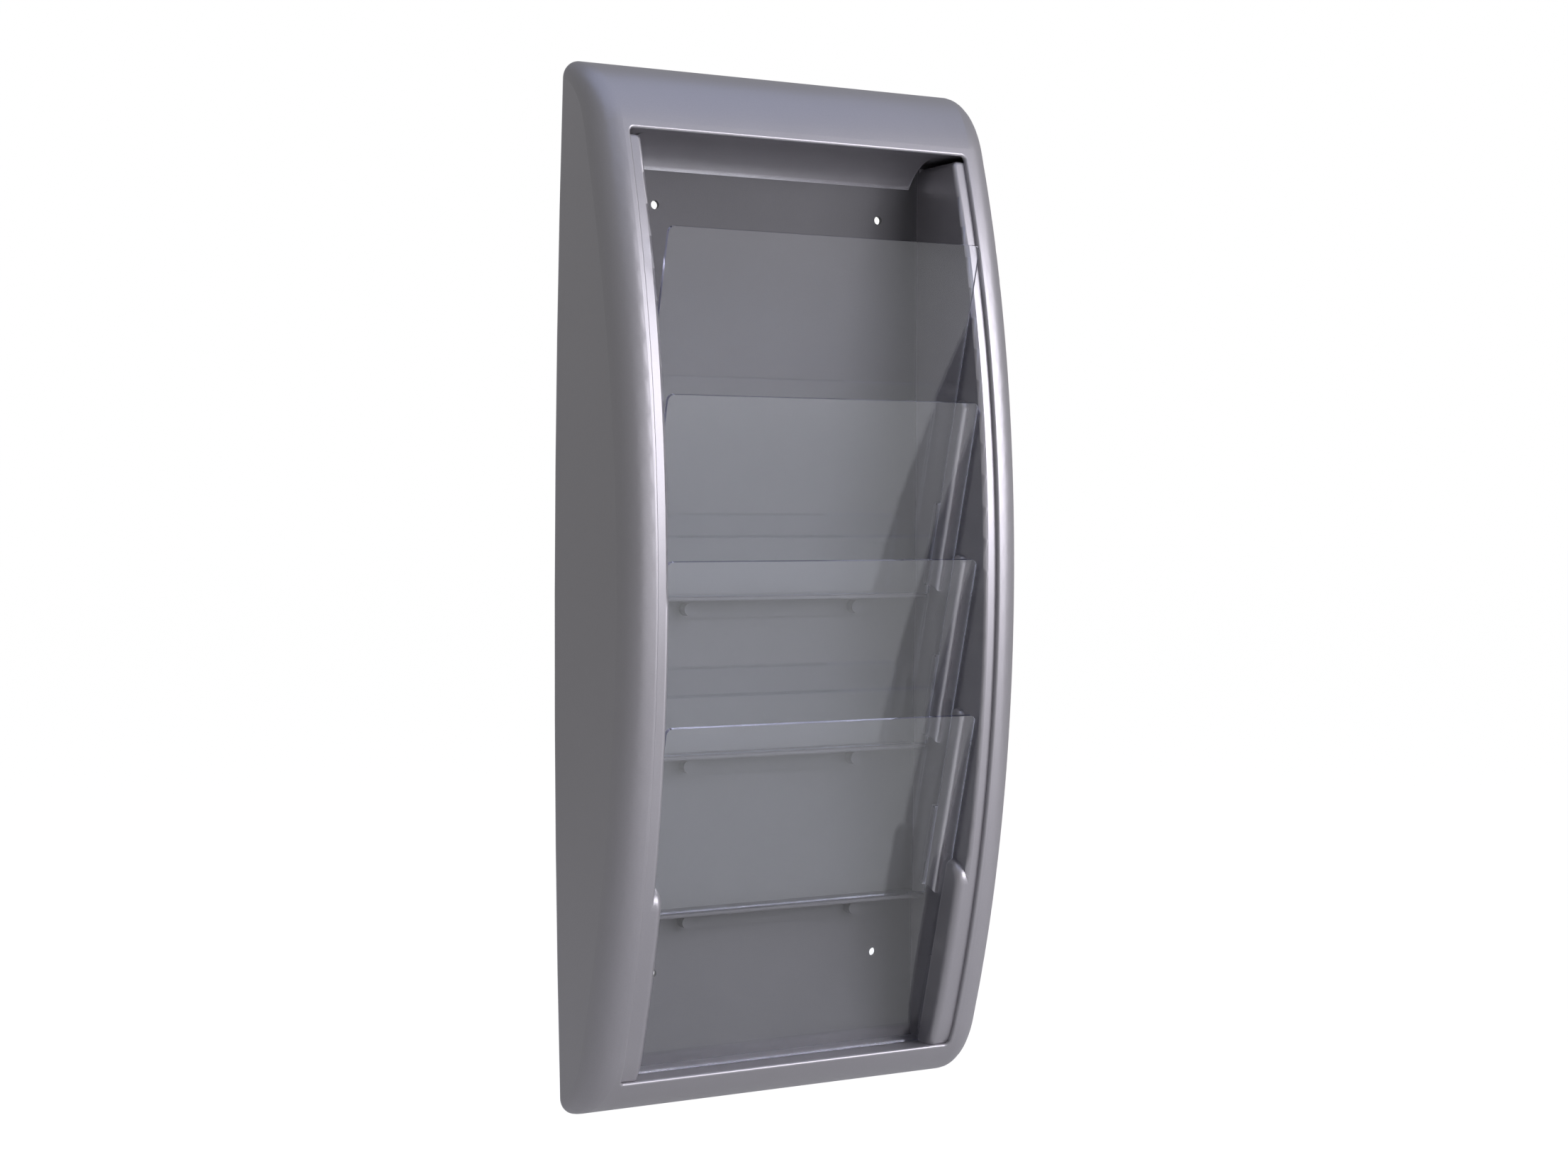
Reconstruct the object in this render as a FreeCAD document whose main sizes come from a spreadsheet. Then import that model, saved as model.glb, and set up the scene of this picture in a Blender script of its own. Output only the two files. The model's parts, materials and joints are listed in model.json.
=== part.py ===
import FreeCAD, Part
import math
import os
import re
import Sketcher
from FreeCAD import Placement, Rotation, Vector

# Wall brochure holder: four clear pocket plates, one above the other, in a bowed moulded frame.
# Millimetres. +Z is up, the wall is the plane Y = 0 and the front of the holder faces -Y.
# The origin is the middle of the wall face. Depth means distance in front of the wall.

POCKETS = 4
SIZES = {
    # outer frame
    "frame_height": 650.0,
    "frame_depth": 93.0,
    "end_depth": 32.27,
    "end_radius": 60.0,
    "band_width": 17.9,
    "side_flare": 9.5,
    "side_bulge": 5.0,
    "corner_radius": 11.0,
    "band_radius": 18.0,
    "frame_wall": 2.6,
    "opening_corner_radius": 3.0,
    "opening_edge_radius": 1.4,
    "hood_height": 46.4,
    "sill_height": 27.0,
    "hood_wall_gap": 6.5,
    "cove_radius": 40.0,
    "cove_reach": 33.0,
    "skin_share": 0.75,
    "boss_diameter": 8.0,
    "frame_screw_spacing": 120.0,
    "hood_screw_drop": 22.0,
    "sill_screw_rise": 13.0,
    # back panel
    "panel_thickness": 3.0,
    "wall_hole_diameter": 5.5,
    "wall_hole_row": 160.0,
    "wall_hole_column": 480.0,
    # cheeks
    "cheek_wall": 2.5,
    "cheek_head_gap": 3.4,
    "flange_reveal": 8.1,
    "flange_thickness": 2.2,
    "flange_lap": 3.0,
    "flange_edge_radius": 2.5,
    "flange_corner_radius": 4.0,
    "foot_width": 14.5,
    "foot_thickness": 3.0,
    "cheek_boss_length": 12.0,
    "cheek_screw_pitch": 220.0,
    # lips and guides that hold the plates
    "lip_height": 4.0,
    "bottom_lip_height": 6.0,
    "lip_width": 12.0,
    "lip_start": 5.0,
    "lip_top": 130.0,
    "lip_end_radius": 5.0,
    "lip_edge_radius": 3.0,
    "bottom_lip_edge_radius": 4.8,
    "lip_nose_radius": 12.0,
    "lip_nose_share": 0.8,
    "guide_width": 3.0,
    "guide_length": 60.0,
    # clear plates
    "plate_width": 215.5,
    "plate_length": 228.0,
    "plate_thickness": 2.5,
    "plate_corner_radius": 4.0,
    "lean_angle": 15.5,
    "plate_foot_depth": 22.6,
    "plate_pitch": 98.5,
    # pocket floors
    "floor_thickness": 2.5,
    "floor_nose": 3.5,
    "floor_edge_radius": 1.0,
    "floor_flange_height": 14.0,
    "floor_flange_thickness": 2.5,
    "floor_boss_length": 10.0,
    "floor_screw_spacing": 120.0,
    # screws
    "screw_diameter": 3.5,
    "screw_length": 12.0,
    "screw_tip_length": 2.5,
    "screw_tip_share": 0.3,
    "screw_head_diameter": 7.0,
    "screw_head_height": 2.0,
    "recess_depth": 1.2,
    "recess_width": 1.0,
    "recess_span": 3.6,
    # clearances
    "fit_gap": 0.2,
    "plate_side_gap": 1.75,
    "slide_gap": 0.4,
    "rest_gap": 0.3,
    "floor_side_gap": 0.5,
    "screw_gap": 0.15,
    "overrun": 5.0,
}

# Places that several pieces share, as formulas of the sizes. The widths build up from the plates
# outwards: cheeks, opening, front bands, flared sides.
CHEEK_SPACING = "(plate_width + 2 * plate_side_gap)"
OPENING_WIDTH = f"({CHEEK_SPACING} + 2 * flange_reveal)"
FRONT_WIDTH = f"({OPENING_WIDTH} + 2 * band_width)"
FRAME_WIDTH = f"({FRONT_WIDTH} + 2 * side_flare)"
HOOD_WALL_WIDTH = f"({CHEEK_SPACING} - 2 * hood_wall_gap)"
BOW_RISE = "(frame_depth - end_depth)"
BOW_RADIUS = f"(((frame_height / 2) * (frame_height / 2) + {BOW_RISE} * {BOW_RISE}) / (2 * {BOW_RISE}))"
SILL_TOP = "(-frame_height / 2 + sill_height)"
HOOD_EDGE = "(frame_height / 2 - hood_height)"
CHEEK_FACE = f"({CHEEK_SPACING} / 2)"
LIP_FACE = f"({CHEEK_FACE} - lip_height)"
BOTTOM_LIP_FACE = f"({CHEEK_FACE} - bottom_lip_height)"
CHEEK_SCREW_X = f"({CHEEK_FACE} + (cheek_wall + foot_width) / 2)"
FLANGE_WIDTH = "(flange_reveal + flange_lap)"
FLOOR_WIDTH = f"({CHEEK_SPACING} - 2 * lip_height - 2 * floor_side_gap)"
FLOOR_SCREW_DROP = "((floor_thickness + floor_flange_height) / 2)"
HOOD_SCREW_Z = "(frame_height / 2 - hood_screw_drop)"
SILL_SCREW_Z = "(-frame_height / 2 + sill_screw_rise)"

# Sketch planes: across and up are Y and Z in the side view, X and Z in the front view.
# The front view's own axis points forward.
SIDE_VIEW = Rotation(Vector(1, 1, 1), 120)
FRONT_VIEW = Rotation(Vector(1, 0, 0), 90)
TOUCH = 1e-4

doc = FreeCAD.newDocument("brochure_holder")
sheet = doc.addObject("Spreadsheet::Sheet", "sizes")
for row, (size_name, size) in enumerate(SIZES.items(), start=1):
    sheet.set(f"A{row}", size_name)
    sheet.set(f"B{row}", str(size))
    sheet.setAlias(f"B{row}", size_name)
doc.recompute()


def formula(text):
    """Turn the size names in a formula into references to the sheet."""
    return re.sub(r"[a-z_]+", lambda word: "sizes." + word[0] if word[0] in SIZES else word[0], text)


def measure(text):
    """The present value of a formula."""
    return float(sheet.evalExpression(formula(text)))


def bind(thing, **formulas):
    """Bind properties to formulas; x, y, z and lean stand for the parts of the Placement."""
    paths = {"x": "Placement.Base.x", "y": "Placement.Base.y", "z": "Placement.Base.z",
             "lean": "Placement.Rotation.Angle"}
    for name, text in formulas.items():
        thing.setExpression(paths.get(name, name), formula(text))


# Solids from primitives and booleans

def box(name, x, y, z, length, width, height):
    solid = doc.addObject("Part::Box", name)
    bind(solid, x=x, y=y, z=z, Length=length, Width=width, Height=height)
    return solid


def forward_cylinder(name, x, y, z, diameter, length):
    """A cylinder that runs forward from its base, square to the wall."""
    solid = doc.addObject("Part::Cylinder", name)
    solid.Placement = Placement(Vector(), FRONT_VIEW)
    bind(solid, x=x, y=y, z=z, Radius=f"({diameter}) / 2", Height=length)
    return solid


def cut(name, base, tool):
    result = doc.addObject("Part::Cut", name)
    result.Base = base
    result.Tool = tool
    return result


def common(name, base, tool):
    result = doc.addObject("Part::Common", name)
    result.Base = base
    result.Tool = tool
    return result


def fuse(name, solids):
    result = doc.addObject("Part::MultiFuse", name)
    result.Shapes = solids
    return result


def middle(edge):
    return edge.valueAt((edge.FirstParameter + edge.LastParameter) / 2)


def sideways(edge):
    """Whether an edge starts out along X."""
    return abs(edge.tangentAt(edge.FirstParameter).x) > 1 - TOUCH


def rounded(name, base, radii):
    """Round the edges of a solid; radii gives an edge's start and end radius, or nothing."""
    doc.recompute()
    result = doc.addObject("Part::Fillet", name)
    result.Base = base
    chosen = []
    for number, edge in enumerate(base.Shape.Edges, start=1):
        pair = radii(edge)
        if pair:
            chosen.append((number, *pair))
    result.Edges = chosen
    return result


# Sketches

def free_sketch(name, view, **place):
    sketch = doc.addObject("Sketcher::SketchObject", name)
    sketch.Placement = Placement(Vector(), view)
    bind(sketch, **place)
    return sketch


def body_sketch(body, name, role, **offset):
    """A sketch on one of the body's own origin planes, moved along by the offset formulas."""
    sketch = body.newObject("Sketcher::SketchObject", name)
    plane = next(item for item in body.Origin.OriginFeatures if item.Role == role)
    sketch.AttachmentSupport = [(plane, "")]
    sketch.MapMode = "FlatFace"
    for axis, text in offset.items():
        sketch.setExpression(f"AttachmentOffset.Base.{axis}", formula(text))
    return sketch


def constrain(sketch, kind, *where, size=None):
    """Add a constraint, bound to a formula where it has a size."""
    if size is None:
        return sketch.addConstraint(Sketcher.Constraint(kind, *where))
    number = sketch.addConstraint(Sketcher.Constraint(kind, *where, measure(size)))
    sketch.setExpression(f"Constraints[{number}]", formula(size))
    return number


def place_point(sketch, geometry, end, across, up):
    """Fix one end of a line or arc at the formulas across and up from the sketch's origin."""
    constrain(sketch, "DistanceX", -1, 1, geometry, end, size=across)
    constrain(sketch, "DistanceY", -1, 1, geometry, end, size=up)


def draw(sketch, points):
    """A closed outline through (across, up) corners. A third item is the radius of an arc that
    runs from that corner to the next one, anticlockwise if the radius has no minus sign."""
    spots = [Vector(measure(point[0]), measure(point[1])) for point in points]
    for number, point in enumerate(points):
        start = spots[number]
        end = spots[(number + 1) % len(spots)]
        if len(point) == 2:
            sketch.addGeometry(Part.LineSegment(start, end))
            continue
        radius = measure(point[2])
        chord = end - start
        side = Vector(-chord.y, chord.x) * (1 if radius > 0 else -1)
        rise = math.sqrt(radius ** 2 - (chord.Length / 2) ** 2)
        centre = (start + end) * 0.5 + side.normalize() * rise
        first, last = (start, end) if radius > 0 else (end, start)
        angles = [math.atan2(spot.y - centre.y, spot.x - centre.x) for spot in (first, last)]
        circle = Part.Circle(centre, Vector(0, 0, 1), abs(radius))
        sketch.addGeometry(Part.ArcOfCircle(circle, *angles))
    ends = [(2, 1) if len(point) == 3 and measure(point[2]) < 0 else (1, 2) for point in points]
    for number, point in enumerate(points):
        following = (number + 1) % len(points)
        constrain(sketch, "Coincident", number, ends[number][1], following, ends[following][0])
        place_point(sketch, number, ends[number][0], point[0], point[1])
        if len(point) == 3:
            constrain(sketch, "Radius", number, size=f"abs({point[2]})")
    return sketch


def rectangle(sketch, left, low, right, high):
    return draw(sketch, [(left, low), (right, low), (right, high), (left, high)])


def bow_outline(name, inset):
    """Side outline of the frame, drawn in by the inset: the bow, a rounding at each end, the wall."""
    sketch = free_sketch(name, SIDE_VIEW)
    bow = f"({BOW_RADIUS} - {inset})"
    end = f"(end_radius - {inset})"
    bow_across = f"({BOW_RADIUS} - frame_depth)"
    end_up = f"(frame_height / 2 - {inset} - {end})"
    bow_size, end_size = measure(bow), measure(end)
    centre, rise = measure(bow_across), measure(end_up)
    end_across = centre - math.sqrt((bow_size - end_size) ** 2 - rise ** 2)
    wall_up = rise + math.sqrt(end_size ** 2 - end_across ** 2)
    wall_angle = math.atan2(wall_up - rise, -end_across)
    join_angle = math.atan2(rise, end_across - centre)

    def arc(across, up, radius, first, last):
        circle = Part.Circle(Vector(across, up), Vector(0, 0, 1), radius)
        return sketch.addGeometry(Part.ArcOfCircle(circle, first, last))

    top = arc(end_across, rise, end_size, wall_angle, join_angle)
    front = arc(centre, 0, bow_size, join_angle, math.tau - join_angle)
    bottom = arc(end_across, -rise, end_size, math.tau - join_angle, math.tau - wall_angle)
    wall = sketch.addGeometry(Part.LineSegment(Vector(0, -wall_up), Vector(0, wall_up)))
    constrain(sketch, "Coincident", wall, 1, bottom, 2)
    constrain(sketch, "Coincident", wall, 2, top, 1)
    constrain(sketch, "PointOnObject", wall, 1, -2)
    constrain(sketch, "PointOnObject", wall, 2, -2)
    constrain(sketch, "Tangent", top, 2, front, 1)
    constrain(sketch, "Tangent", front, 2, bottom, 1)
    constrain(sketch, "PointOnObject", front, 3, -1)
    constrain(sketch, "DistanceX", -1, 1, front, 3, size=bow_across)
    constrain(sketch, "DistanceY", -1, 1, top, 3, size=end_up)
    constrain(sketch, "DistanceY", bottom, 3, -1, 1, size=end_up)
    constrain(sketch, "Radius", front, size=bow)
    constrain(sketch, "Radius", top, size=end)
    constrain(sketch, "Radius", bottom, size=end)
    return sketch


def extrude(name, sketch, start, length):
    """A sketch of the side view, run sideways from the start."""
    solid = doc.addObject("Part::Extrusion", name)
    solid.Base = sketch
    solid.DirMode = "Custom"
    solid.Dir = Vector(1, 0, 0)
    solid.Solid = True
    bind(solid, x=start, LengthFwd=length)
    return solid


def frame_block(name, inset):
    """The frame's outer form, drawn in by the inset: bowed front, flared sides, rounded shoulders."""
    half = f"({FRAME_WIDTH} / 2 - {inset})"
    end = f"({FRAME_WIDTH} / 2 - side_bulge - {inset})"
    high = "(frame_height / 2 + overrun)"
    arc = f"(({high} * {high} + side_bulge * side_bulge) / (2 * side_bulge))"
    back = draw(free_sketch(f"{name}_back", FRONT_VIEW),
                [(f"-{end}", f"-{high}"), (end, f"-{high}", arc), (end, high), (f"-{end}", high, arc)])
    front = free_sketch(f"{name}_front", FRONT_VIEW, y="-frame_depth - overrun")
    front_half = f"({FRONT_WIDTH} / 2 - {inset})"
    rectangle(front, f"-{front_half}", f"-{high}", front_half, high)
    plan = doc.addObject("Part::Loft", f"{name}_plan")
    plan.Sections = [back, front]
    plan.Solid = True
    plan.Ruled = True
    side = extrude(f"{name}_side", bow_outline(f"{name}_outline", inset), f"-{half} - overrun",
                   f"2 * {half} + 2 * overrun")
    corner, band = measure(f"corner_radius - {inset}"), measure(f"band_radius - {inset}")

    def shoulder(edge):
        spot = middle(edge)
        if abs(spot.x) < measure(f"{OPENING_WIDTH} / 4") or spot.y > -TOUCH:
            return None
        ends = [edge.valueAt(edge.FirstParameter), edge.valueAt(edge.LastParameter)]
        return [corner if abs(point.y) < TOUCH else band for point in ends]

    return rounded(name, common(f"{name}_raw", side, plan), shoulder)


# Screws and the clearance cut for them, in rows and columns

def screw_grid(name, spacing, lowest, rows, pitch, gap=None):
    """Two columns of countersunk screws driven forward from the wall face, one solid each.
    With a gap, the space that clears them."""
    body = doc.addObject("PartDesign::Body", name)
    body.AllowCompound = True
    extra = gap or "0"
    shank = f"(screw_diameter / 2 + {extra})"
    head = f"(screw_head_diameter / 2 + {extra})"
    length = f"(screw_length + {extra})"
    tip = f"({shank} * screw_tip_share)"
    outline = [("0", "0"), (f"-{length}", "0"), (f"-{length}", tip),
               (f"-{length} + screw_tip_length", shank), (f"-screw_head_height - {extra}", shank)]
    # the space for a head starts with a straight step as deep as the gap
    rim = [(f"-{extra}", head), ("0", head)] if gap else [("0", head)]
    sketch = draw(body_sketch(body, f"{name}_profile", "YZ_Plane"), outline + rim)
    turned = body.newObject("PartDesign::Revolution", f"{name}_turned")
    turned.Profile = sketch
    turned.ReferenceAxis = (sketch, ["H_Axis"])
    features = [turned]
    if not gap:
        cross = body_sketch(body, f"{name}_cross", "XZ_Plane")
        arm, span = "(recess_width / 2)", "(recess_span / 2)"
        draw(cross, [(f"-{arm}", f"-{span}"), (arm, f"-{span}"), (arm, f"-{arm}"), (span, f"-{arm}"),
                     (span, arm), (arm, arm), (arm, span), (f"-{arm}", span), (f"-{arm}", arm),
                     (f"-{span}", arm), (f"-{span}", f"-{arm}"), (f"-{arm}", f"-{arm}")])
        recess = body.newObject("PartDesign::Pocket", f"{name}_recess")
        recess.Profile = cross
        recess.Reversed = True
        bind(recess, Length="recess_depth")
        features.append(recess)
    doc.recompute()
    grid = body.newObject("PartDesign::MultiTransform", f"{name}_grid")
    grid.Originals = features
    steps = []
    for role, count, reach in (("X_Axis", 2, spacing), ("Z_Axis", rows, f"({pitch}) * {rows - 1}")):
        step = body.newObject("PartDesign::LinearPattern", f"{name}_{role}")
        axis = next(item for item in body.Origin.OriginFeatures if item.Role == role)
        step.Direction = (axis, [""])
        step.Occurrences = count
        bind(step, Length=reach)
        steps.append(step)
    grid.Transformations = steps
    body.Tip = grid
    bind(body, x=f"-({spacing}) / 2", z=lowest)
    return body


def screws_and_room(name, spacing, lowest, rows, pitch):
    return (screw_grid(name, spacing, lowest, rows, pitch),
            screw_grid(f"{name}_room", spacing, lowest, rows, pitch, gap="screw_gap"))


frame_screws, frame_screw_room = screws_and_room(
    "frame_screws", "frame_screw_spacing", SILL_SCREW_Z, rows=2, pitch=f"{HOOD_SCREW_Z} - {SILL_SCREW_Z}")
cheek_screws, cheek_screw_room = screws_and_room(
    "cheek_screws", f"2 * {CHEEK_SCREW_X}", "-cheek_screw_pitch", rows=3, pitch="cheek_screw_pitch")
floor_screws, floor_screw_room = screws_and_room(
    "floor_screws", "floor_screw_spacing", f"{SILL_TOP} + plate_pitch - {FLOOR_SCREW_DROP}",
    rows=POCKETS - 1, pitch="plate_pitch")

# Outer frame: a skin with one large opening, a ledge at hood and sill, a cove under the hood, screw bosses
outer = frame_block("outer_form", "0")
inner = frame_block("inner_form", "frame_wall")
skin = frame_block("skin_form", "(frame_wall * skin_share)")
inside = frame_block("inside_form", "(frame_wall + fit_gap)")

window_box = box("window_box", f"-{OPENING_WIDTH} / 2", "-frame_depth - overrun", SILL_TOP, OPENING_WIDTH,
                 "frame_depth + overrun", f"{HOOD_EDGE} - {SILL_TOP}")


def along_depth(edge):
    radius = measure("opening_corner_radius")
    return (radius, radius) if abs(edge.tangentAt(edge.FirstParameter).y) > 1 - TOUCH else None


window = rounded("window", window_box, along_depth)
opened = cut("opened_skin", cut("skin", outer, inner), window)


def opening_rim(edge):
    spot = Part.Vertex(middle(edge))
    surfaces = (outer.Shape.Shells[0], window.Shape.Shells[0])
    on_rim = all(surface.distToShape(spot)[0] < TOUCH for surface in surfaces)
    radius = measure("opening_edge_radius")
    return (radius, radius) if on_rim else None


skin_rounded = rounded("rounded_skin", opened, opening_rim)

cove_across = "-(panel_thickness + cove_reach)"
cove_low = f"({HOOD_EDGE} - cove_radius + sqrt(cove_radius * cove_radius - cove_reach * cove_reach))"
cove_back = "((cove_radius + frame_wall) * (cove_radius + frame_wall) - cove_reach * cove_reach)"
hood_sketch = draw(free_sketch("hood_wall_section", SIDE_VIEW), [
    ("-frame_depth", HOOD_EDGE), (cove_across, HOOD_EDGE, "-cove_radius"),
    ("-panel_thickness", cove_low),
    ("-panel_thickness", f"{HOOD_EDGE} - cove_radius + sqrt({cove_back})", "cove_radius + frame_wall"),
    (cove_across, f"{HOOD_EDGE} + frame_wall"), ("-frame_depth", f"{HOOD_EDGE} + frame_wall")])
hood_wall = extrude("hood_wall", hood_sketch, f"-{HOOD_WALL_WIDTH} / 2", HOOD_WALL_WIDTH)
inner_walls = [hood_wall]
for place, height in (("hood", HOOD_EDGE), ("sill", f"{SILL_TOP} - frame_wall")):
    inner_walls.append(box(f"{place}_ledge", f"-{FRAME_WIDTH} / 2", "-frame_depth", height, FRAME_WIDTH,
                           "frame_depth - panel_thickness", "frame_wall"))
for side in (-1, 1):
    for place, height in (("hood", HOOD_SCREW_Z), ("sill", SILL_SCREW_Z)):
        inner_walls.append(forward_cylinder(
            f"{place}_boss", f"{side} * frame_screw_spacing / 2", "-panel_thickness", height,
            "boss_diameter", "frame_depth"))
kept_walls = common("inner_walls", fuse("all_inner_walls", inner_walls), skin)
outer_frame = cut("outer_frame", fuse("frame_moulding", [skin_rounded, kept_walls]), frame_screw_room)

# Back panel: fills the back of the frame, with holes for the wall screws and the assembly screws
panel_slab = box("panel_slab", f"-{FRAME_WIDTH} / 2", "-panel_thickness", "-frame_height / 2", FRAME_WIDTH,
                 "panel_thickness", "frame_height")
panel_blank = common("panel_blank", inside, panel_slab)
panel_holes = [frame_screw_room, cheek_screw_room, floor_screw_room]
for side in (-1, 1):
    for level in (-1, 1):
        panel_holes.append(forward_cylinder(
            "wall_hole", f"{side} * wall_hole_row / 2", "overrun", f"{level} * wall_hole_column / 2",
            "wall_hole_diameter", "panel_thickness + 2 * overrun"))
back_panel = cut("back_panel", panel_blank, fuse("panel_holes", panel_holes))


# Cheeks: a side wall with a front flange under the frame's band, a foot on the back panel,
# and for each pocket a lip in front of the plate and a guide behind it

def pocket_height(number):
    """Top of the pocket's floor. Pocket 1 is the highest, the last one stands on the sill."""
    return f"({SILL_TOP} + {POCKETS - number} * plate_pitch)"


def lean_with_plate(body, number):
    """Put a body in the plate's own frame: origin at its lower front edge, up along the plate."""
    body.Placement = Placement(Vector(), Rotation(Vector(1, 0, 0), 1))
    bind(body, y="-plate_foot_depth", z=f"{pocket_height(number)} + rest_gap", lean="lean_angle")


def strip(name, number, outline, start, end):
    """A strip on the right cheek, drawn in the plate's frame and run sideways from start to end."""
    body = doc.addObject("PartDesign::Body", name)
    sketch = draw(body_sketch(body, f"{name}_outline", "YZ_Plane", z=start), outline)
    pad = body.newObject("PartDesign::Pad", f"{name}_pad")
    pad.Profile = sketch
    bind(pad, Length=f"{end} - {start}")
    lean_with_plate(body, number)
    return body


cheek_zone = box("cheek_zone", CHEEK_FACE, "-frame_depth - overrun", f"{SILL_TOP} + fit_gap", FLANGE_WIDTH,
                 "frame_depth + overrun - panel_thickness",
                 f"{HOOD_EDGE} - cheek_head_gap - {SILL_TOP} - fit_gap")


def cheek_head(edge):
    spot = middle(edge)
    top = measure(f"{HOOD_EDGE} - cheek_head_gap")
    radius = measure("flange_corner_radius")
    on_edge = abs(spot.x - measure(CHEEK_FACE)) < TOUCH and abs(spot.z - top) < TOUCH
    return (radius, radius) if on_edge else None


cheek_blank = common("cheek_blank", inside, rounded("cheek_zone_rounded", cheek_zone, cheek_head))


def flange_edge(edge):
    """The front edge of the cheek's inner face, all along the flange."""
    spot = middle(edge)
    low, high = measure(f"{SILL_TOP} + fit_gap"), measure(f"{HOOD_EDGE} - cheek_head_gap")
    inside_ends = low + TOUCH < spot.z < high - measure("flange_corner_radius") - TOUCH
    on_face = abs(spot.x - measure(CHEEK_FACE)) < TOUCH
    in_front = spot.y < -measure("panel_thickness") - TOUCH
    radius = measure("flange_edge_radius")
    return (radius, radius) if on_face and in_front and inside_ends else None


cheek_hollow = extrude("cheek_hollow",
                       bow_outline("flange_back", "(frame_wall + fit_gap + flange_thickness)"),
                       f"{CHEEK_FACE} + cheek_wall", f"{FLANGE_WIDTH} + overrun")
cheek_shell = cut("cheek_shell", rounded("cheek_rounded", cheek_blank, flange_edge), cheek_hollow)
cheek_pieces = [cheek_shell, box("cheek_foot", CHEEK_FACE, "-panel_thickness - foot_thickness",
                                 f"{SILL_TOP} + fit_gap", "foot_width", "foot_thickness",
                                 f"{HOOD_EDGE} - cheek_head_gap - {SILL_TOP} - fit_gap")]
for step in (-1, 0, 1):
    cheek_pieces.append(forward_cylinder("cheek_boss", CHEEK_SCREW_X, "-panel_thickness",
                                         f"{step} * cheek_screw_pitch", "boss_diameter",
                                         "cheek_boss_length"))
behind = "(plate_thickness + slide_gap)"
guide = [(behind, "lip_start"), (f"{behind} + guide_width", "lip_start"),
         (f"{behind} + guide_width", "guide_length"), (behind, "guide_length")]
lip = [("-slide_gap - lip_width", "lip_start"), ("-slide_gap", "lip_start"),
       ("-slide_gap", "lip_top"), ("-slide_gap - lip_width", "lip_top")]


def upper_corners(solid, radius):
    """Picks the edges that run sideways in the upper half of a solid."""
    def pick(edge):
        high = middle(edge).z > solid.Shape.BoundBox.Center.z
        return (measure(radius), measure(radius)) if sideways(edge) and high else None
    return pick


def lip_rim(edge):
    """All edges of the lip's raised face."""
    spot = middle(edge)
    radius = measure("lip_edge_radius")
    return (radius, radius) if abs(spot.x - measure(LIP_FACE)) < TOUCH else None


for number in range(1, POCKETS + 1):
    cheek_pieces.append(strip(f"guide_{number}", number, guide, LIP_FACE, f"{CHEEK_FACE} + cheek_wall / 2"))
    if number < POCKETS:
        lip_body = strip(f"lip_{number}", number, lip, LIP_FACE, f"{CHEEK_FACE} + cheek_wall / 2")
        lip_ended = rounded(f"lip_{number}_ended", lip_body, upper_corners(lip_body, "lip_end_radius"))
        cheek_pieces.append(rounded(f"lip_{number}_rounded", lip_ended, lip_rim))

# The bottom lip is wider and higher: it fills the corner between the plate, the flange and the sill
bottom_lip = strip("bottom_lip", POCKETS,
                   [("-frame_depth", "-frame_depth"), ("-slide_gap", "-frame_depth"),
                    ("-slide_gap", "lip_top"), ("-frame_depth", "lip_top")],
                   BOTTOM_LIP_FACE, f"{CHEEK_FACE} + flange_edge_radius")
bottom_zone = box("bottom_lip_zone", BOTTOM_LIP_FACE, "-frame_depth", f"{SILL_TOP} + fit_gap",
                  "bottom_lip_height + flange_edge_radius", "frame_depth - panel_thickness",
                  "frame_height / 2")
bottom_raw = common("bottom_lip_raw", common("bottom_lip_clipped", bottom_lip, inside), bottom_zone)


def lip_nose(edge):
    """The edge across the top of the bottom lip, where it meets the flange. Its radius stays
    within the width of the lip's top."""
    spots = [middle(other) for other in bottom_raw.Shape.Edges if sideways(other)]
    front = min(spots, key=lambda spot: spot.y)
    rear = max(spots, key=lambda spot: spot.z)
    radius = min(measure("lip_nose_radius"), measure("lip_nose_share") * (rear - front).Length)
    return (radius, radius) if sideways(edge) and (middle(edge) - front).Length < TOUCH else None


bottom_nosed = rounded("bottom_lip_nosed", bottom_raw, lip_nose)


def bottom_lip_rim(edge):
    """The front and top edges of the bottom lip's raised face."""
    spot = middle(edge)
    lean = math.radians(measure("lean_angle"))
    foot = Vector(0, -measure("plate_foot_depth"), measure(f"{pocket_height(POCKETS)} + rest_gap"))
    ahead = (spot - foot).dot(Vector(0, -math.cos(lean), -math.sin(lean)))
    on_face = abs(spot.x - measure(BOTTOM_LIP_FACE)) < TOUCH
    clear = ahead > measure("slide_gap") + TOUCH and spot.z > measure(f"{SILL_TOP} + fit_gap") + TOUCH
    radius = measure("bottom_lip_edge_radius")
    return (radius, radius) if on_face and clear else None


cheek_pieces.append(rounded("bottom_lip_rounded", bottom_nosed, bottom_lip_rim))
right_cheek = cut("right_cheek", fuse("cheek_moulding", cheek_pieces), cheek_screw_room)
left_cheek = doc.addObject("Part::Mirroring", "left_cheek")
left_cheek.Source = right_cheek
left_cheek.Normal = Vector(1, 0, 0)


# Pocket floors: a shelf with a rear flange and two screw bosses

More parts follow.
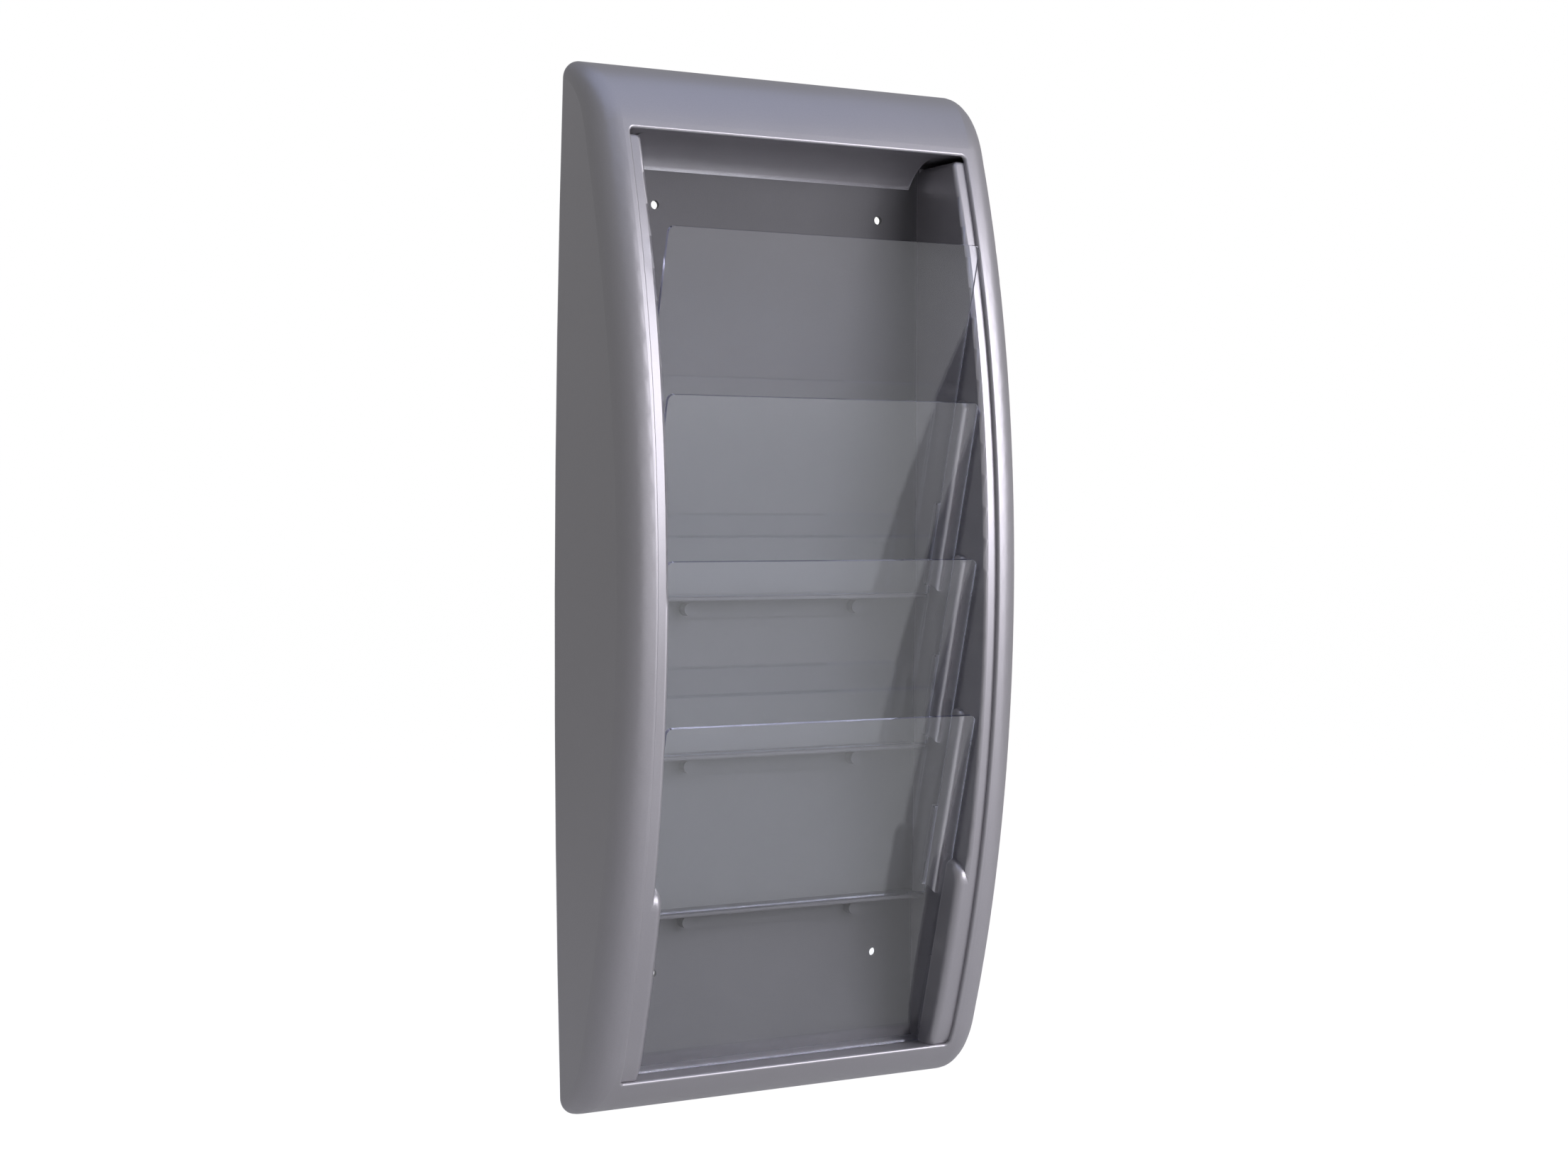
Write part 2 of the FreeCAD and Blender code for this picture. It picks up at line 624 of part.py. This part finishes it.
def pocket_floor(number):
    name = f"pocket_floor_{number}"
    body = doc.addObject("PartDesign::Body", f"{name}_moulding")
    flange_front = "-panel_thickness - floor_flange_thickness"
    nose = "-plate_foot_depth - floor_nose"
    section = draw(body_sketch(body, f"{name}_section", "YZ_Plane"), [
        ("-panel_thickness", "0"), (nose, "0"), (nose, "-floor_thickness"),
        (flange_front, "-floor_thickness"), (flange_front, "-floor_flange_height"),
        ("-panel_thickness", "-floor_flange_height")])
    shelf = body.newObject("PartDesign::Pad", f"{name}_shelf")
    shelf.Profile = section
    shelf.SideType = "Symmetric"
    bind(shelf, Length=FLOOR_WIDTH)
    bosses = body_sketch(body, f"{name}_bosses", "XZ_Plane", z="panel_thickness")
    for side in (-1, 1):
        spot = Vector(side * measure("floor_screw_spacing / 2"), -measure(FLOOR_SCREW_DROP))
        circle = bosses.addGeometry(Part.Circle(spot, Vector(0, 0, 1), measure("boss_diameter / 2")))
        constrain(bosses, "Radius", circle, size="boss_diameter / 2")
        place_point(bosses, circle, 3, f"{side} * floor_screw_spacing / 2", f"-{FLOOR_SCREW_DROP}")
    pad = body.newObject("PartDesign::Pad", f"{name}_boss_pad")
    pad.Profile = bosses
    bind(pad, Length="floor_boss_length")
    doc.recompute()
    front_edges = [f"Edge{place}" for place, edge in enumerate(pad.Shape.Edges, start=1)
                   if abs(middle(edge).y - measure(nose)) < TOUCH and sideways(edge)]
    nosing = body.newObject("PartDesign::Fillet", f"{name}_nosing")
    nosing.Base = (pad, front_edges)
    bind(nosing, Radius="floor_edge_radius")
    bind(body, z=pocket_height(number))
    return cut(name, body, floor_screw_room)


# Clear plates: flat sheets with rounded upper corners, square below

def pocket_plate(number):
    name = f"pocket_plate_{number}"
    body = doc.addObject("PartDesign::Body", name)
    outline = rectangle(body_sketch(body, f"{name}_outline", "XZ_Plane"),
                        "-plate_width / 2", "0", "plate_width / 2", "plate_length")
    sheet_pad = body.newObject("PartDesign::Pad", f"{name}_sheet")
    sheet_pad.Profile = outline
    sheet_pad.Reversed = True
    bind(sheet_pad, Length="plate_thickness")
    doc.recompute()
    corners = [f"Edge{place}" for place, edge in enumerate(sheet_pad.Shape.Edges, start=1)
               if abs(edge.tangentAt(edge.FirstParameter).y) > 1 - TOUCH
               and middle(edge).z > measure("plate_length / 2")]
    corner = body.newObject("PartDesign::Fillet", f"{name}_corners")
    corner.Base = (sheet_pad, corners)
    bind(corner, Radius="plate_corner_radius")
    lean_with_plate(body, number)
    return body


floors = [pocket_floor(number) for number in range(1, POCKETS)]
plates = [pocket_plate(number) for number in range(1, POCKETS + 1)]
doc.recompute()

# Check every object, then write one file for each sub-part
for item in doc.Objects:
    if {"Invalid", "Error"} & set(item.State):
        raise RuntimeError(f"{item.Name} failed: {item.State}")
sub_parts = [outer_frame, back_panel, left_cheek, right_cheek, *floors, *plates,
             frame_screws, cheek_screws, floor_screws]
os.makedirs("parts", exist_ok=True)
for sub_part in sub_parts:
    shape = sub_part.Shape
    if shape.isNull() or not shape.isValid():
        raise RuntimeError(f"{sub_part.Label} has no valid shape")
    print(sub_part.Label, len(shape.Solids), round(shape.Volume, 1))
for sub_part in sub_parts:
    sub_part.Shape.exportStep(f"parts/{sub_part.Label}.step")
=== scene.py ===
import json
import math

import bpy
from mathutils import Matrix, Vector


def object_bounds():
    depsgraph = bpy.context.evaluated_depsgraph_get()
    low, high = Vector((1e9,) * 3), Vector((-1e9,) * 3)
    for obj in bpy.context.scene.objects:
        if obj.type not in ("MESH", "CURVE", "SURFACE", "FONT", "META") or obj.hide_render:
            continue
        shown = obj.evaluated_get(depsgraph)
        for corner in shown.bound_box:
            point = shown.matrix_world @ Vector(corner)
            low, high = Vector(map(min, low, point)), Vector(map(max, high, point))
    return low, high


# Wall brochure holder: finishes of the CAD pieces, soft studio light and the photograph's camera.
# Lengths are in metres, angles in degrees and lamp powers in watts.

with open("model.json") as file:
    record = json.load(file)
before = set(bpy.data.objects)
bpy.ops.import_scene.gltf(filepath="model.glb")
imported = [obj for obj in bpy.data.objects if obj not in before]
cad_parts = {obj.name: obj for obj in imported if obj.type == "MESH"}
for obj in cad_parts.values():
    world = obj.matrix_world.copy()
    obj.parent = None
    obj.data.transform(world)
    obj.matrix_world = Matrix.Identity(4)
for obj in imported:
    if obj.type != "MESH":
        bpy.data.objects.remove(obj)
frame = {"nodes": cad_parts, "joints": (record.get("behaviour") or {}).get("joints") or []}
cad_low, cad_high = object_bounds()
scene = bpy.context.scene
scene.view_settings.view_transform = "Standard"

# Camera, fitted to the holder's outline in the photograph
IMAGE_WIDTH = 2212
FOCAL_LENGTH_PIXELS = 3277.3
SENSOR_WIDTH = 36.0
CAMERA_PLACE = Vector((-0.6878, -1.3210, 0.0606))
CAMERA_AZIMUTH = -27.98
CAMERA_ELEVATION = 2.29
CAMERA_ROLL = 0.38

# Stage: a pale floor well below the holder and a white surround
FLOOR_DROP = 0.18
FLOOR_SIZE = 40.0
FLOOR_PAINT = (0.62, 0.62, 0.62)
FLOOR_ROUGHNESS = 0.8
# The floor's white is mixed in by a share that leaves its paint to take the shadow. Share times
# glow, with what the lit paint adds, comes to white.
FLOOR_WHITE_SHARE = 0.75
FLOOR_GLOW = 1.3
# How much of the white surround the satin pieces mirror
MIRRORED_SHARE = 0.27
# A ray's count of matt bounces is below this until it has met a matt surface
FIRST_MATT_BOUNCE = 0.5
AMBIENT = (0.11, 0.11, 0.11)
WHITE = (1.0, 1.0, 1.0)

# Soft boxes, all aimed at the middle of the holder. Azimuth 0 is straight in front.
LAMP_DISTANCE = 2.0
DAYLIGHT = (0.93, 0.915, 1.0)
SKYLIGHT = (0.5, 0.6, 1.0)
# name, azimuth, elevation, width, power, colour
LAMPS = [
    ("key", 28, 18, 1.0, 14, DAYLIGHT),
    ("key_side", 48, 18, 1.0, 9, DAYLIGHT),
    ("low_side", 44, 2, 1.0, 4, DAYLIGHT),
    ("front_left", -10, 4, 1.0, 2.5, DAYLIGHT),
    ("overhead", 0, 80, 2.4, 9, SKYLIGHT),
    ("back", 180, 15, 1.0, 5, DAYLIGHT),
]

# Noises are a scale per metre and a detail. Ranges are the least and the most.
NOISE_BAND = (0.3, 0.7)
WHOLE = (0.0, 1.0)
HALF = (0.0, 0.5)

# Satin silver of the frame and the cheeks
SILVER_DARK = (0.43, 0.417, 0.432)
SILVER_LIGHT = (0.47, 0.456, 0.472)
SILVER_METALLIC = 0.62
FRAME_ROUGHNESS = (0.35, 0.40)
CHEEK_ROUGHNESS = (0.34, 0.39)
FLAKES = (1400, 2)
FLOW = (9, 3)
SKIN = (700, 3)
SKIN_DEPTH = 0.00002

# Painted highlight along the silver's tight convex edges: how deep an edge is felt, from which open
# share inside it on it is lit and fully lit, and the lighter colour and smoother finish it gets
HIGHLIGHT_EDGE_DEPTH = 0.002
HIGHLIGHT_EDGE_SAMPLES = 8
HIGHLIGHT_EDGE_RANGE = (0.85, 0.4)
HIGHLIGHT_PATCHES = (40, 1)
HIGHLIGHT_EVENNESS = (0.7, 1.0)
HIGHLIGHT_SILVER = (0.72, 0.705, 0.73)
HIGHLIGHT_ROUGHNESS = 0.24

# Grained dark grey of the back panel and the pocket floors, kept dark as painted shade for the holder's
# inside
PANEL_SHADE_DARK = (0.098, 0.096, 0.101)
PANEL_SHADE_LIGHT = (0.107, 0.105, 0.110)
PANEL_ROUGHNESS = (0.5, 0.62)
PANEL_FLOW = (14, 3)
GRAIN = (1800, 4)
GRAIN_DEPTH = 0.00006

# Clear plates. A surface turned further than the edge turn, as a squared cosine, is a cut edge.
PLATE_FACE = (0.97, 0.98, 1.0)
PLATE_EDGE = (0.74, 0.76, 0.96)
PLATE_IOR = 1.49
PLATE_ROUGHNESS = (0.0, 0.05)
SMEARS = (22, 4)
EDGE_TURN = 0.5
EDGE_SHINE = 0.7
STRAIGHT_THROUGH = (0.95, 0.955, 0.965)

# Zinc-plated screws
STEEL_DARK = (0.52, 0.52, 0.53)
STEEL_LIGHT = (0.68, 0.68, 0.69)
STEEL_ROUGHNESS = (0.22, 0.4)
STAINS = (500, 3)
PLATING = (2500, 2)


def turned(azimuth, elevation):
    """Unit vector from the holder towards a place round it."""
    azimuth = math.radians(azimuth)
    elevation = math.radians(elevation)
    level = math.cos(elevation)
    return Vector((math.sin(azimuth) * level, -math.cos(azimuth) * level, math.sin(elevation)))


def make_camera():
    data = bpy.data.cameras.new("photo_camera")
    data.sensor_width = SENSOR_WIDTH
    data.lens = FOCAL_LENGTH_PIXELS / IMAGE_WIDTH * SENSOR_WIDTH
    camera = bpy.data.objects.new("photo_camera", data)
    scene.collection.objects.link(camera)
    back = turned(CAMERA_AZIMUTH, CAMERA_ELEVATION)
    azimuth = math.radians(CAMERA_AZIMUTH)
    roll = math.radians(CAMERA_ROLL)
    level = Vector((math.cos(azimuth), math.sin(azimuth), 0))
    upright = back.cross(level)
    right = level * math.cos(roll) + upright * math.sin(roll)
    up = back.cross(right)
    turn = Matrix((right, up, back)).transposed().to_4x4()
    camera.matrix_world = Matrix.Translation(CAMERA_PLACE) @ turn
    scene.camera = camera


# Node helpers


def feed(tree, target, value):
    """Give an input a socket, a colour or a number."""
    if isinstance(value, bpy.types.NodeSocket):
        tree.links.new(value, target)
    elif isinstance(value, tuple):
        target.default_value = (*value, 1)
    else:
        target.default_value = value


def calculate(tree, operation, first, second):
    """The output of a Math node."""
    node = tree.nodes.new("ShaderNodeMath")
    node.operation = operation
    feed(tree, node.inputs[0], first)
    feed(tree, node.inputs[1], second)
    return node.outputs[0]


def mix_shaders(tree, factor, first, second):
    mix = tree.nodes.new("ShaderNodeMixShader")
    tree.links.new(factor, mix.inputs["Fac"])
    tree.links.new(first, mix.inputs[1])
    tree.links.new(second, mix.inputs[2])
    return mix.outputs["Shader"]


def blend(tree, factor, first, second, kind):
    """Mix two colours (kind RGBA) or two numbers (kind VALUE), each a socket or plain."""
    mix = tree.nodes.new("ShaderNodeMix")
    mix.data_type = "RGBA" if kind == "RGBA" else "FLOAT"
    ends = [socket for socket in mix.inputs if socket.type == kind and socket.name in ("A", "B")]
    feed(tree, ends[0], first)
    feed(tree, ends[1], second)
    tree.links.new(factor, mix.inputs["Factor"])
    return next(socket for socket in mix.outputs if socket.type == kind)


def noise(tree, place, scale, detail):
    texture = tree.nodes.new("ShaderNodeTexNoise")
    texture.inputs["Scale"].default_value = scale
    texture.inputs["Detail"].default_value = detail
    tree.links.new(place, texture.inputs["Vector"])
    return texture.outputs["Fac"]


def spread(tree, value, target, source=NOISE_BAND):
    """Stretch a value from one range to another. Noise lies mostly in its middle band."""
    ranged = tree.nodes.new("ShaderNodeMapRange")
    ranged.inputs["From Min"].default_value = source[0]
    ranged.inputs["From Max"].default_value = source[1]
    ranged.inputs["To Min"].default_value = target[0]
    ranged.inputs["To Max"].default_value = target[1]
    tree.links.new(value, ranged.inputs["Value"])
    return ranged.outputs["Result"]


def bump(tree, paint, height, depth):
    relief = tree.nodes.new("ShaderNodeBump")
    relief.inputs["Distance"].default_value = depth
    tree.links.new(height, relief.inputs["Height"])
    tree.links.new(relief.outputs["Normal"], paint.inputs["Normal"])


def new_material(name):
    material = bpy.data.materials.new(name)
    material.use_nodes = True
    return material, material.node_tree, material.node_tree.nodes["Principled BSDF"]


# Stage


def clear_sight(tree):
    """A factor that is one where the surround is seen directly or through the plates, a share
    where it is mirrored, and zero where it would light a matt surface."""
    rays = tree.nodes.new("ShaderNodeLightPath")
    mirrored = calculate(tree, "MULTIPLY", rays.outputs["Is Glossy Ray"], MIRRORED_SHARE)
    seen = calculate(tree, "MAXIMUM", rays.outputs["Is Camera Ray"], rays.outputs["Is Transmission Ray"])
    seen = calculate(tree, "MAXIMUM", seen, mirrored)
    unlit = calculate(tree, "LESS_THAN", rays.outputs["Diffuse Depth"], FIRST_MATT_BOUNCE)
    return calculate(tree, "MULTIPLY", seen, unlit)


def make_floor():
    bpy.ops.mesh.primitive_plane_add(size=FLOOR_SIZE, location=(0, 0, cad_low.z - FLOOR_DROP))
    floor = bpy.context.object
    floor.name = "floor"
    material, tree, paint = new_material("pale_floor")
    feed(tree, paint.inputs["Base Color"], FLOOR_PAINT)
    feed(tree, paint.inputs["Roughness"], FLOOR_ROUGHNESS)
    white = tree.nodes.new("ShaderNodeEmission")
    feed(tree, white.inputs["Color"], WHITE)
    feed(tree, white.inputs["Strength"], FLOOR_GLOW)
    share = calculate(tree, "MULTIPLY", clear_sight(tree), FLOOR_WHITE_SHARE)
    surface = mix_shaders(tree, share, paint.outputs["BSDF"], white.outputs["Emission"])
    tree.links.new(surface, tree.nodes["Material Output"].inputs["Surface"])
    floor.data.materials.append(material)


def make_world():
    world = bpy.data.worlds.new("studio")
    scene.world = world
    world.use_nodes = True
    tree = world.node_tree
    ambient = tree.nodes["Background"]
    feed(tree, ambient.inputs["Color"], AMBIENT)
    white = tree.nodes.new("ShaderNodeBackground")
    feed(tree, white.inputs["Color"], WHITE)
    surround = mix_shaders(tree, clear_sight(tree), ambient.outputs["Background"],
                           white.outputs["Background"])
    tree.links.new(surround, tree.nodes["World Output"].inputs["Surface"])


def soft_box(name, azimuth, elevation, width, power, colour):
    """A square lamp aimed at the middle of the holder."""
    data = bpy.data.lights.new(name, "AREA")
    data.size = width
    data.energy = power
    data.color = colour
    lamp = bpy.data.objects.new(name, data)
    scene.collection.objects.link(lamp)
    away = turned(azimuth, elevation)
    lamp.location = (cad_low + cad_high) / 2 + away * LAMP_DISTANCE
    lamp.rotation_mode = "QUATERNION"
    lamp.rotation_quaternion = (-away).to_track_quat("-Z", "Y")
    lamp.visible_camera = False


# Finishes


def painted_edge_highlight(tree, place):
    """A painted highlight mask that grows from zero on flat and gently curved skin to one on tight
    convex edges.
    """
    inner = tree.nodes.new("ShaderNodeAmbientOcclusion")
    inner.inside = True
    inner.only_local = True
    inner.samples = HIGHLIGHT_EDGE_SAMPLES
    inner.inputs["Distance"].default_value = HIGHLIGHT_EDGE_DEPTH
    edges = spread(tree, inner.outputs["AO"], WHOLE, HIGHLIGHT_EDGE_RANGE)
    uneven = spread(tree, noise(tree, place, *HIGHLIGHT_PATCHES), HIGHLIGHT_EVENNESS)
    return calculate(tree, "MULTIPLY", edges, uneven)


def moulded_silver(name, roughness):
    """Satin silver plastic: pigment flakes, slow flow shading, a faint moulded skin, painted highlights
    on tight edges.
    """
    material, tree, paint = new_material(name)
    place = tree.nodes.new("ShaderNodeTexCoord").outputs["Object"]
    flakes = noise(tree, place, *FLAKES)
    flow = noise(tree, place, *FLOW)
    both = calculate(tree, "ADD", spread(tree, flakes, HALF), spread(tree, flow, HALF))
    edge_highlight = painted_edge_highlight(tree, place)
    colour = blend(tree, both, SILVER_DARK, SILVER_LIGHT, "RGBA")
    # painted highlight: tight convex edges are lightened towards a pale silver and made smoother
    colour = blend(tree, edge_highlight, colour, HIGHLIGHT_SILVER, "RGBA")
    satin = blend(tree, edge_highlight, spread(tree, flow, roughness), HIGHLIGHT_ROUGHNESS, "VALUE")
    feed(tree, paint.inputs["Base Color"], colour)
    feed(tree, paint.inputs["Roughness"], satin)
    feed(tree, paint.inputs["Metallic"], SILVER_METALLIC)
    bump(tree, paint, noise(tree, place, *SKIN), SKIN_DEPTH)
    return material


def shaded_grained_plastic(name):
    """Dark grey moulding, its darkness painted shade for the holder's inside, with an eroded grain."""
    material, tree, paint = new_material(name)
    place = tree.nodes.new("ShaderNodeTexCoord").outputs["Object"]
    flow = spread(tree, noise(tree, place, *PANEL_FLOW), WHOLE)
    grain = noise(tree, place, *GRAIN)
    # painted shade: the panel's base colour is kept dark to stand in for the shade inside the holder
    feed(tree, paint.inputs["Base Color"], blend(tree, flow, PANEL_SHADE_DARK, PANEL_SHADE_LIGHT, "RGBA"))
    feed(tree, paint.inputs["Roughness"], spread(tree, grain, PANEL_ROUGHNESS))
    bump(tree, paint, grain, GRAIN_DEPTH)
    return material


def clear_sheet(name, facing):
    """Clear polished sheet with tinted cut edges. Facing is the direction that the sheet faces."""
    material, tree, paint = new_material(name)
    coordinates = tree.nodes.new("ShaderNodeTexCoord")
    along = tree.nodes.new("ShaderNodeVectorMath")
    along.operation = "DOT_PRODUCT"
    along.inputs[1].default_value = facing
    tree.links.new(coordinates.outputs["Normal"], along.inputs[0])
    flat = calculate(tree, "MULTIPLY", along.outputs["Value"], along.outputs["Value"])
    feed(tree, paint.inputs["Base Color"], blend(tree, flat, PLATE_EDGE, PLATE_FACE, "RGBA"))
    feed(tree, paint.inputs["Transmission Weight"], 1)
    feed(tree, paint.inputs["IOR"], PLATE_IOR)
    # The cut edges gather light, so they shine like a satin mirror
    cut = calculate(tree, "LESS_THAN", flat, EDGE_TURN)
    feed(tree, paint.inputs["Metallic"], calculate(tree, "MULTIPLY", cut, EDGE_SHINE))
    smears = noise(tree, coordinates.outputs["Object"], *SMEARS)
    feed(tree, paint.inputs["Roughness"], spread(tree, smears, PLATE_ROUGHNESS))
    # Light from the lamps goes straight through
    straight = tree.nodes.new("ShaderNodeBsdfTransparent")
    feed(tree, straight.inputs["Color"], STRAIGHT_THROUGH)
    from_lamp = tree.nodes.new("ShaderNodeLightPath").outputs["Is Shadow Ray"]
    surface = mix_shaders(tree, from_lamp, paint.outputs["BSDF"], straight.outputs["BSDF"])
    tree.links.new(surface, tree.nodes["Material Output"].inputs["Surface"])
    return material


def plated_steel(name):
    """Zinc-plated steel with a cloudy colour and a fine, uneven shine."""
    material, tree, paint = new_material(name)
    place = tree.nodes.new("ShaderNodeTexCoord").outputs["Object"]
    stains = spread(tree, noise(tree, place, *STAINS), WHOLE)
    feed(tree, paint.inputs["Base Color"], blend(tree, stains, STEEL_DARK, STEEL_LIGHT, "RGBA"))
    feed(tree, paint.inputs["Roughness"], spread(tree, noise(tree, place, *PLATING), STEEL_ROUGHNESS))
    feed(tree, paint.inputs["Metallic"], 1)
    return material


def dress(material, *nodes):
    for name in nodes:
        slots = frame["nodes"][name].data.materials
        for index in range(len(slots)):
            slots[index] = material


make_camera()
make_floor()
make_world()
for lamp in LAMPS:
    soft_box(*lamp)

plates = sorted(name for name in frame["nodes"] if name.startswith("pocket_plate"))
floors = sorted(name for name in frame["nodes"] if name.startswith("pocket_floor"))
screws = sorted(name for name in frame["nodes"] if name.endswith("screws"))
lift = Vector(frame["joints"][0]["axis"])
sheet_facing = lift.cross(Vector((1, 0, 0)))
dress(moulded_silver("frame_silver", FRAME_ROUGHNESS), "outer_frame")
dress(moulded_silver("cheek_silver", CHEEK_ROUGHNESS), "left_cheek", "right_cheek")
dress(shaded_grained_plastic("panel_grey"), "back_panel", *floors)
dress(clear_sheet("clear_plate", sheet_facing), *plates)
dress(plated_steel("screw_steel"), *screws)
